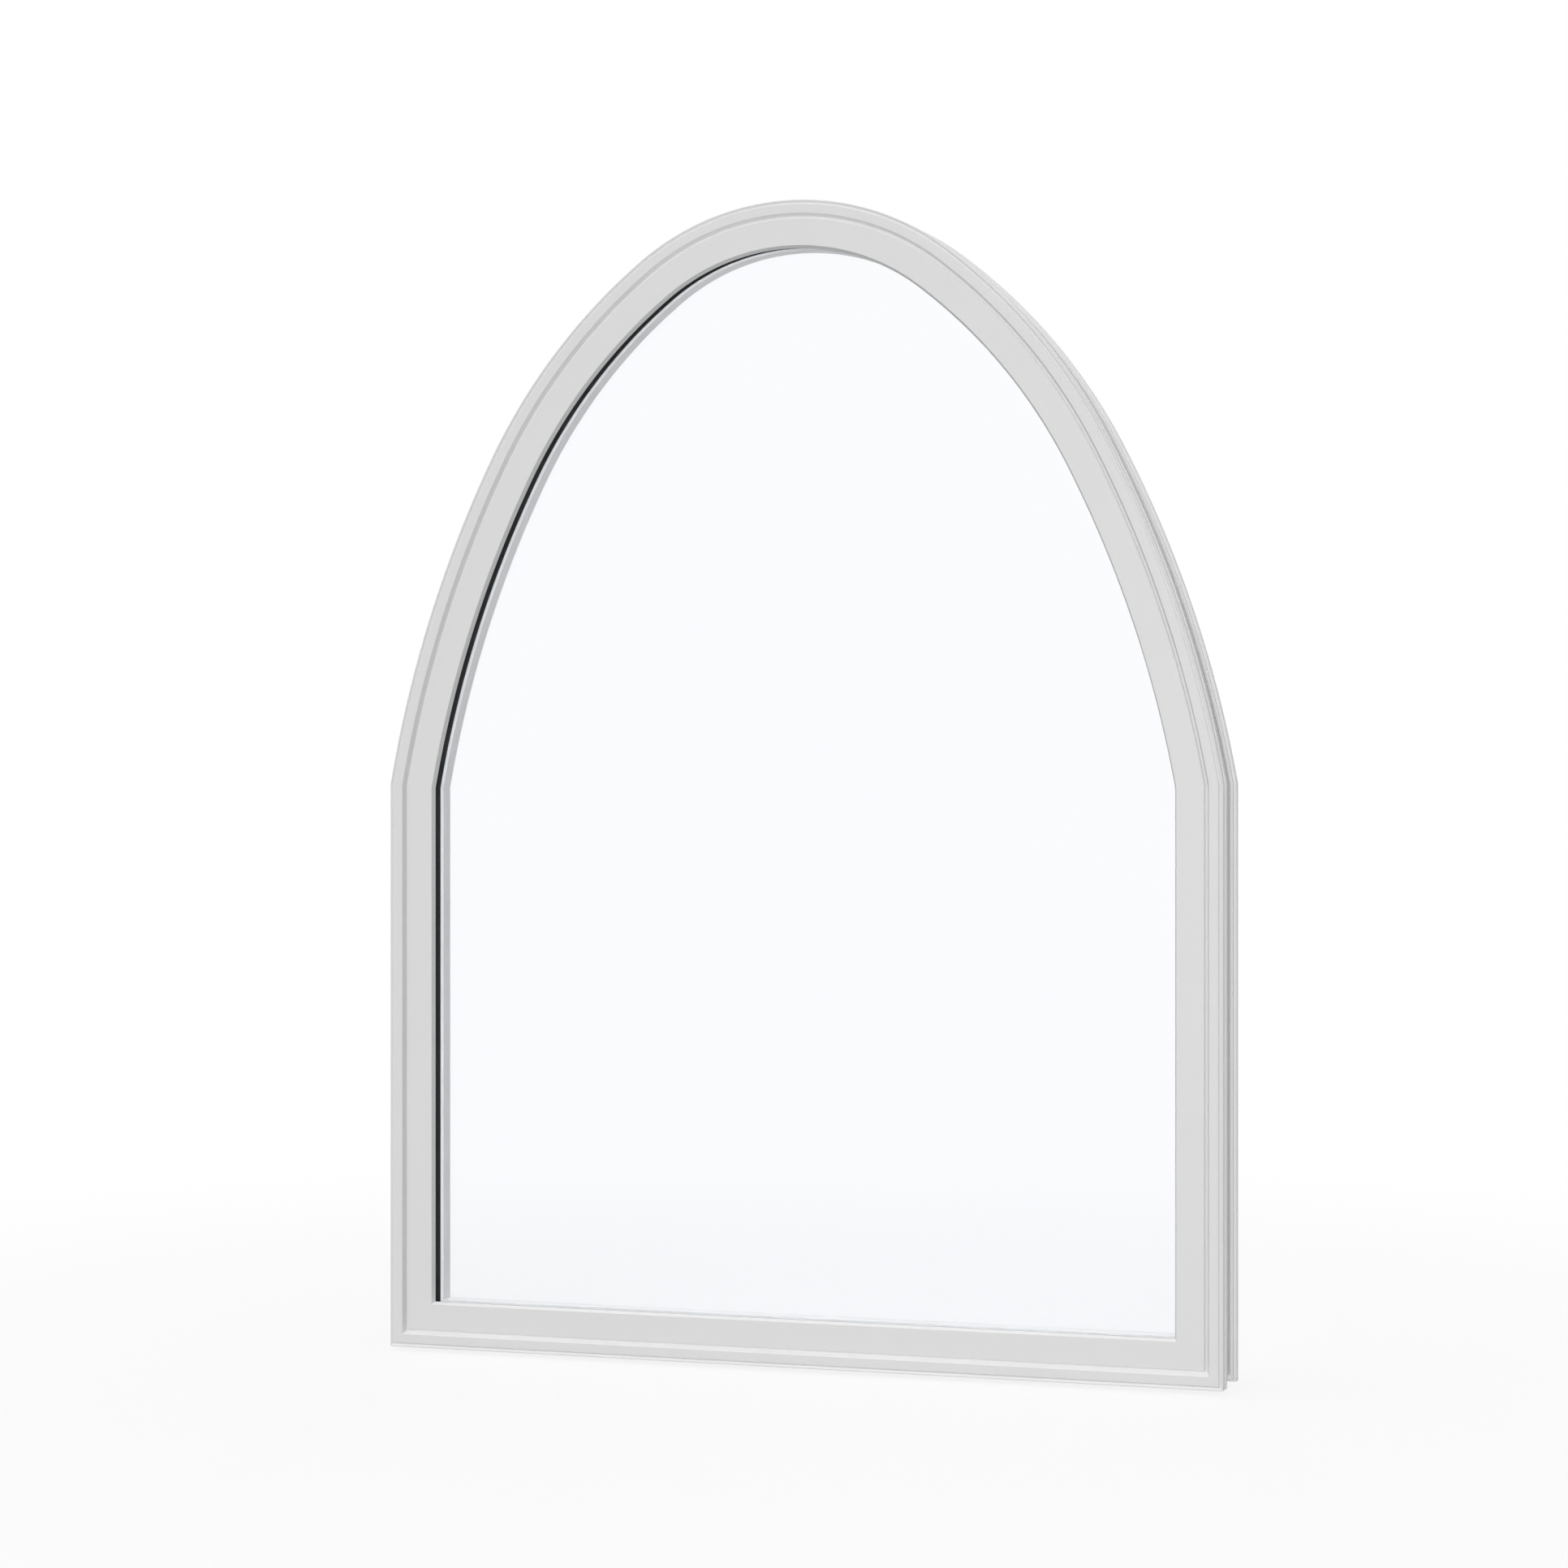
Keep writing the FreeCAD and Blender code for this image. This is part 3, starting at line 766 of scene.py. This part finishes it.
WAVE_SCALE = (2.2, 2.2, 2.2)
WAVE_DETAIL = 1.0
WAVE_STRENGTH = 0.02
WAVE_DEPTH = 0.0002
GLASS_CHANGE = 0.002
GLASS_IOR = 1.52
GLASS_REFLECTION = (0.12, 0.12, 0.12, 1.0)
GLASS_CLEARNESS = (0.956, 0.960, 0.964, 1.0)
STRAIGHT_SHARE = 0.6


def glass_finish():
    """Clear float glass that lets the lamps through, with a trace of waviness."""
    material, tree, shader, coordinates = new_finish("Clear Float Glass")
    colour = settings("finish").glass
    wave = pattern(tree, coordinates, "Object", WAVE_SCALE, WAVE_DETAIL)
    shaded(tree, shader, wave, colour, GLASS_CHANGE)
    relief(tree, shader, wave, WAVE_STRENGTH, WAVE_DEPTH)
    shader.inputs["Roughness"].default_value = 0.0
    shader.inputs["IOR"].default_value = GLASS_IOR
    shader.inputs["Specular Tint"].default_value = GLASS_REFLECTION
    shader.inputs["Transmission Weight"].default_value = 1.0
    # Shadow rays let the lamps straight through. With all bounced light bent too, they would count twice.
    path = tree.nodes.new("ShaderNodeLightPath")
    bounced = new_node(tree, "ShaderNodeMath", operation="MULTIPLY")
    bounced.inputs[1].default_value = STRAIGHT_SHARE
    feed(tree, bounced, 0, path, "Is Diffuse Ray")
    straight = new_node(tree, "ShaderNodeMath", operation="MAXIMUM")
    feed(tree, straight, 0, path, "Is Shadow Ray")
    feed(tree, straight, 1, bounced)
    clear = tree.nodes.new("ShaderNodeBsdfTransparent")
    clear.inputs["Color"].default_value = GLASS_CLEARNESS
    mix = tree.nodes.new("ShaderNodeMixShader")
    feed(tree, mix, "Fac", straight)
    feed(tree, mix, 1, shader)
    feed(tree, mix, 2, clear)
    feed(tree, tree.nodes["Material Output"], "Surface", mix)
    return material


def white_finish():
    """The white plastic that all the profiles share."""
    finish = settings("finish")
    return bpy.data.materials.get("White Plastic") or extruded_finish(
        "White Plastic", finish.white, finish.white_roughness, change=0.006, line_depth=0.00004,
        shine=0.2)


class FrameOperator(bpy.types.Operator):
    """Run the frame's profile round the window as a sill, two jambs and an arched head"""

    bl_idname = "arched_window.frame"
    bl_label = "Frame"

    def execute(self, context):
        members = {"bottom": "frame_sill", "left": "frame_left_jamb", "right": "frame_right_jamb",
                   "arch": "frame_arch_head"}
        section_run(FRAME_SECTION, settings("edges").profile_radius, white_finish(), members, "profile")
        return {"FINISHED"}


class SashOperator(bpy.types.Operator):
    """Run the fixed sash's profile inside the frame"""

    bl_idname = "arched_window.sash"
    bl_label = "Sash"

    def execute(self, context):
        members = {"bottom": "sash_bottom_rail", "left": "sash_left_stile", "right": "sash_right_stile",
                   "arch": "sash_arch_rail"}
        section_run(SASH_SECTION, settings("edges").profile_radius, white_finish(), members, "profile")
        return {"FINISHED"}


class BeadOperator(bpy.types.Operator):
    """Run the glazing bead round the room side of the glass"""

    bl_idname = "arched_window.beads"
    bl_label = "Glazing Beads"

    def execute(self, context):
        members = {side: f"bead_{side}" for side in SIDES}
        edges = settings("edges")
        section_run(BEAD_SECTION, edges.profile_radius, white_finish(), members, "profile",
                    edges.bead_joint)
        return {"FINISHED"}


class GasketOperator(bpy.types.Operator):
    """Lay the rubber strips on both sides of the glass"""

    bl_idname = "arched_window.gaskets"
    bl_label = "Gaskets"

    def execute(self, context):
        finish, radius = settings("finish"), settings("edges").gasket_radius
        black = extruded_finish(
            "Black Rubber", finish.rubber, roughness=0.62, change=0.06, line_depth=0.00003)
        pale = extruded_finish(
            "Pale Rubber", finish.pale_rubber, roughness=0.55, change=0.01, line_depth=0.00003)
        outer = {side: f"outer_gasket_{side}" for side in SIDES}
        inner = {side: f"inner_gasket_{side}" for side in SIDES}
        section_run(OUTER_GASKET_SECTION, radius, black, outer, "strip")
        section_run(INNER_GASKET_SECTION, radius, pale, inner, "strip")
        return {"FINISHED"}


class SpacerOperator(bpy.types.Operator):
    """Set the black spacer bars between the panes"""

    bl_idname = "arched_window.spacers"
    bl_label = "Spacer Bars"

    def execute(self, context):
        finish, radius = settings("finish"), settings("edges").spacer_radius
        black = extruded_finish(
            "Black Spacer", finish.spacer, roughness=0.8, change=0.08, line_depth=0.00003, shine=0.0)
        members = {side: f"spacer_{side}" for side in SIDES}
        section_run(SPACER_SECTION, radius, black, members, "bar")
        # Near-black discs for the vents: painted shade in place of the dark inside of holes.
        vent_rows(extruded_finish(
            "Vent Shade Disc", finish.vent_shade, roughness=0.8, change=0.05, line_depth=0.00001, shine=0.0))
        return {"FINISHED"}


class PaneOperator(bpy.types.Operator):
    """Glaze the window: both panes of the sealed unit keep their solids"""

    bl_idname = "arched_window.panes"
    bl_label = "Glass Panes"

    def execute(self, context):
        clear = glass_finish()
        for node in ("outer_glass_pane", "inner_glass_pane"):
            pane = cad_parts[node]
            pane.data.materials.clear()
            pane.data.materials.append(clear)
        return {"FINISHED"}


FIRST_BOUNCE = 0.5


def seen_rays(tree):
    """1 for rays that carry the background to the camera, straight, mirrored or through glass."""
    path = tree.nodes.new("ShaderNodeLightPath")
    total = path.outputs["Is Camera Ray"]
    for name in ("Is Glossy Ray", "Is Transmission Ray"):
        most = new_node(tree, "ShaderNodeMath", operation="MAXIMUM")
        tree.links.new(total, most.inputs[0])
        tree.links.new(path.outputs[name], most.inputs[1])
        total = most.outputs[0]
    direct = new_node(tree, "ShaderNodeMath", operation="LESS_THAN")
    direct.inputs[1].default_value = FIRST_BOUNCE
    feed(tree, direct, 0, path, "Diffuse Depth")
    seen = new_node(tree, "ShaderNodeMath", operation="MULTIPLY")
    tree.links.new(total, seen.inputs[0])
    feed(tree, seen, 1, direct)
    return seen


def studio_world(stage):
    """Even soft light, with a white background."""
    world = bpy.data.worlds.new("Studio")
    bpy.context.scene.world = world
    world.use_nodes = True
    tree = world.node_tree
    lit = tree.nodes["Background"]
    lit.inputs["Color"].default_value = WHITE
    lit.inputs["Strength"].default_value = stage.ambient
    white = tree.nodes.new("ShaderNodeBackground")
    white.inputs["Color"].default_value = WHITE
    white.inputs["Strength"].default_value = 1.0
    mix = tree.nodes.new("ShaderNodeMixShader")
    feed(tree, mix, "Fac", seen_rays(tree))
    feed(tree, mix, 1, lit)
    feed(tree, mix, 2, white)
    feed(tree, tree.nodes["World Output"], "Surface", mix)


FADE_START, FADE_END = 0.3, 2.0


def floor_finish(stage):
    """Pale floor that keeps a soft shadow near the window and meets the white background further off."""
    material, tree, shader, coordinates = new_finish("Pale Floor")
    seen = seen_rays(tree)
    shade = new_node(tree, "ShaderNodeMix", data_type="RGBA")
    shade.inputs["A"].default_value = (*stage.floor_bounce, 1.0)
    shade.inputs["B"].default_value = (*stage.floor_shade, 1.0)
    feed(tree, shade, "Factor", seen)
    feed(tree, shader, "Base Color", shade, "Result")
    shader.inputs["Roughness"].default_value = 1.0
    shader.inputs["Specular IOR Level"].default_value = 0.0
    distance = new_node(tree, "ShaderNodeVectorMath", operation="LENGTH")
    feed(tree, distance, 0, coordinates, "Object")
    fade = tree.nodes.new("ShaderNodeMapRange")
    fade.interpolation_type = "SMOOTHSTEP"
    fade.inputs["From Min"].default_value = FADE_START
    fade.inputs["From Max"].default_value = FADE_END
    fade.inputs["To Min"].default_value = 1.0 - stage.shadow_share
    fade.inputs["To Max"].default_value = 1.0
    feed(tree, fade, "Value", distance, "Value")
    share = new_node(tree, "ShaderNodeMath", operation="MULTIPLY")
    feed(tree, share, 0, fade)
    feed(tree, share, 1, seen)
    white = tree.nodes.new("ShaderNodeEmission")
    white.inputs["Color"].default_value = WHITE
    white.inputs["Strength"].default_value = 1.0
    mix = tree.nodes.new("ShaderNodeMixShader")
    feed(tree, mix, "Fac", share)
    feed(tree, mix, 1, shader)
    feed(tree, mix, 2, white)
    feed(tree, tree.nodes["Material Output"], "Surface", mix)
    return material


FLOOR_DROP = 0.0004
FLOOR_SIDES = 128


def studio_floor(stage):
    """A round floor just under the window."""
    work = bmesh.new()
    bmesh.ops.create_circle(work, cap_ends=True, segments=FLOOR_SIDES, radius=stage.floor_radius)
    bmesh.ops.translate(work, verts=work.verts[:], vec=(0.0, 0.0, CAD_LOW.z - FLOOR_DROP))
    mesh = bpy.data.meshes.new("Floor")
    work.to_mesh(mesh)
    work.free()
    mesh.materials.append(floor_finish(stage))
    floor = bpy.data.objects.new("Floor", mesh)
    bpy.context.scene.collection.objects.link(floor)


KEY_PLACE = Vector((-0.39, -1.41, 2.61))
TOP_PLACE = Vector((-0.3, -0.6, 2.9))
FRONT_PLACE = Vector((0.95, -4.3, 0.61))
BACK_PLACE = Vector((-0.95, 4.3, 0.61))
FILL_PLACE = Vector((-0.2, -1.5, 2.6))
FILL_SPREAD = math.pi


def soft_light(name, strength, angle, place, shadow=True):
    """An even light from one side of the studio."""
    lamp = bpy.data.lights.new(name, "SUN")
    lamp.energy = strength
    lamp.angle = angle
    lamp.use_shadow = shadow
    made = bpy.data.objects.new(name, lamp)
    bpy.context.scene.collection.objects.link(made)
    made.location = place
    made.rotation_euler = (-place).to_track_quat("-Z", "Y").to_euler()
    return made


def round_light(name, power, size, place, highlights):
    """A round light that faces the window's middle, with or without highlights on the plastic."""
    lamp = bpy.data.lights.new(name, "AREA")
    lamp.shape = "DISK"
    lamp.size = size
    lamp.energy = power
    made = bpy.data.objects.new(name, lamp)
    bpy.context.scene.collection.objects.link(made)
    made.location = place
    middle = (CAD_LOW + CAD_HIGH) / 2
    made.rotation_euler = (middle - made.location).to_track_quat("-Z", "Y").to_euler()
    made.visible_camera = False
    made.visible_glossy = highlights
    made.visible_transmission = False


def broad_fill(name, strength, place):
    """Light from half of the studio that reaches into the rebates and shows in no reflection."""
    fill = soft_light(name, strength, FILL_SPREAD, place, shadow=False)
    fill.visible_glossy = False
    fill.visible_transmission = False


SENSOR_WIDTH = 36.0


def studio_camera(stage):
    """A level camera where the picture was taken from."""
    lens = bpy.data.cameras.new("Camera")
    lens.lens = stage.lens
    lens.sensor_width = SENSOR_WIDTH
    camera = bpy.data.objects.new("Camera", lens)
    bpy.context.scene.collection.objects.link(camera)
    camera.location = stage.camera_place
    camera.rotation_euler = (math.pi / 2, 0.0, stage.camera_turn)
    bpy.context.scene.camera = camera


class StageOperator(bpy.types.Operator):
    """Set up the white studio: floor, soft light and camera"""

    bl_idname = "arched_window.stage"
    bl_label = "Studio"

    def execute(self, context):
        stage = settings("stage")
        studio_world(stage)
        studio_floor(stage)
        soft_light("Key", stage.key_strength, stage.key_spread, KEY_PLACE, shadow=False)
        soft_light("Top Light", stage.top_strength, stage.top_spread, TOP_PLACE)
        round_light("Front Light", stage.front_power, stage.lamp_size, FRONT_PLACE, highlights=True)
        round_light("Back Light", stage.back_power, stage.lamp_size, BACK_PLACE, highlights=False)
        broad_fill("Front Fill", stage.front_fill, FILL_PLACE)
        broad_fill("Back Fill", stage.back_fill, -FILL_PLACE)
        studio_camera(stage)
        context.scene.view_settings.view_transform = "Standard"
        return {"FINISHED"}


GROUPS = {
    "outline": OutlineSettings,
    "edges": EdgeSettings,
    "finish": FinishSettings,
    "vents": VentSettings,
    "stage": StageSettings,
}
OPERATORS = (FrameOperator, SashOperator, BeadOperator, GasketOperator, SpacerOperator, PaneOperator,
             StageOperator)


class WindowPanel(bpy.types.Panel):
    """Sizes, finishes and steps of the arched top window"""

    bl_idname = "VIEW3D_PT_arched_window"
    bl_label = "Arched Top Window"
    bl_space_type = "VIEW_3D"
    bl_region_type = "UI"
    bl_category = "Window"

    def draw(self, context):
        for name, group in GROUPS.items():
            box = self.layout.box()
            box.label(text=group.__doc__)
            for field in group.__annotations__:
                box.prop(settings(name), field)
        for operator in OPERATORS:
            self.layout.operator(operator.bl_idname)


CLASSES = (*GROUPS.values(), *OPERATORS, WindowPanel)


def register():
    """Add the classes and the groups of settings."""
    for made in CLASSES:
        bpy.utils.register_class(made)
    for name, group in GROUPS.items():
        setattr(bpy.types.Scene, f"arched_window_{name}", bpy.props.PointerProperty(type=group))


def unregister():
    """Take the groups of settings and the classes away."""
    for name in GROUPS:
        delattr(bpy.types.Scene, f"arched_window_{name}")
    for made in reversed(CLASSES):
        bpy.utils.unregister_class(made)


def main():
    """Build the window and its studio."""
    register()
    bpy.ops.arched_window.frame()
    bpy.ops.arched_window.sash()
    bpy.ops.arched_window.beads()
    bpy.ops.arched_window.gaskets()
    bpy.ops.arched_window.spacers()
    bpy.ops.arched_window.panes()
    bpy.ops.arched_window.stage()


if __name__ == "__main__":
    main()
